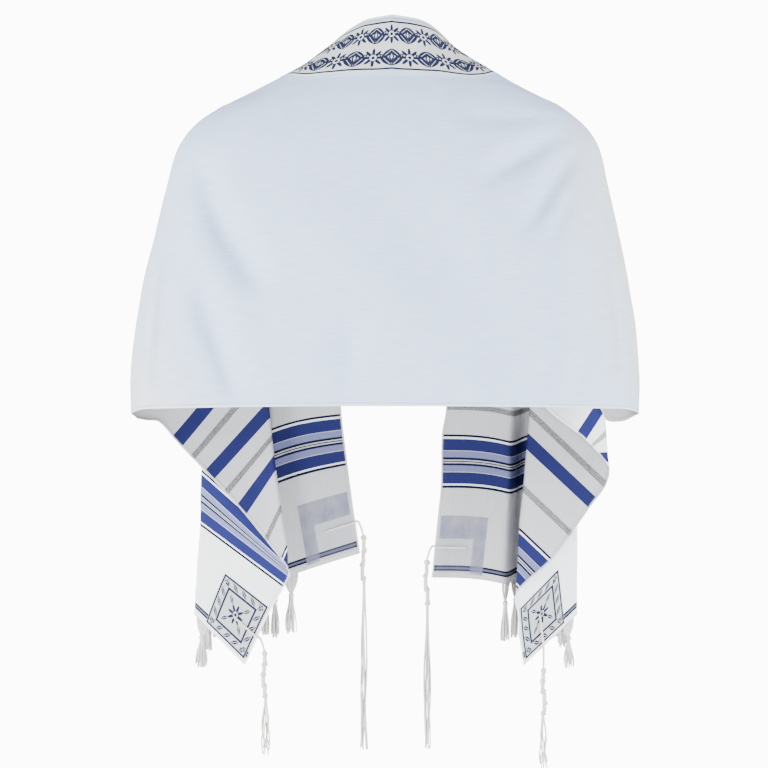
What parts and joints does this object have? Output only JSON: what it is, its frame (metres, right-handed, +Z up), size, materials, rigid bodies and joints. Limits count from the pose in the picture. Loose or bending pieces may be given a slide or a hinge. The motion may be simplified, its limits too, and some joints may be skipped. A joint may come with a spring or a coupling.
{
  "type": "tallit prayer shawl",
  "caption": "White woven prayer shawl with blue and silver stripes, satin neckband, corner patches, fringe and corner tassels, in its worn pose with no wearer.",
  "frame": {"origin": "the middle of the wearer's neck, level with the foot of the neckband", "axes": "+Z up, +Y to the wearer's front, +X to the wearer's right when seen from behind"},
  "size_m": [0.6694, 0.3068, 0.9989],
  "materials": {
    "cloth": "matte",
    "satin": "satin",
    "fringe": "matte",
    "cord": "matte"
  },
  "bodies": {
    "root": {"cloth_back": "cloth", "cloth_neck": "cloth", "cloth_left_front": "cloth", "cloth_right_front": "cloth", "cloth_left_pleat": "cloth", "cloth_right_pleat": "cloth", "cloth_left_side": "cloth", "cloth_right_side": "cloth", "cloth_right_turn": "cloth", "cloth_right_arm": "cloth", "cloth_right_shoulder": "cloth", "neckband": "satin", "patch_left_front": "satin", "patch_left_pleat": "satin", "patch_right_front": "satin", "patch_right_pleat": "satin", "fringe_left_front": "fringe", "fringe_left_pleat": "fringe", "fringe_right_front": "fringe", "fringe_right_pleat": "fringe", "corner_tassel_left_front": "cord", "corner_tassel_left_pleat": "cord", "corner_tassel_right_front": "cord", "corner_tassel_right_pleat": "cord"}
  },
  "joints": []
}
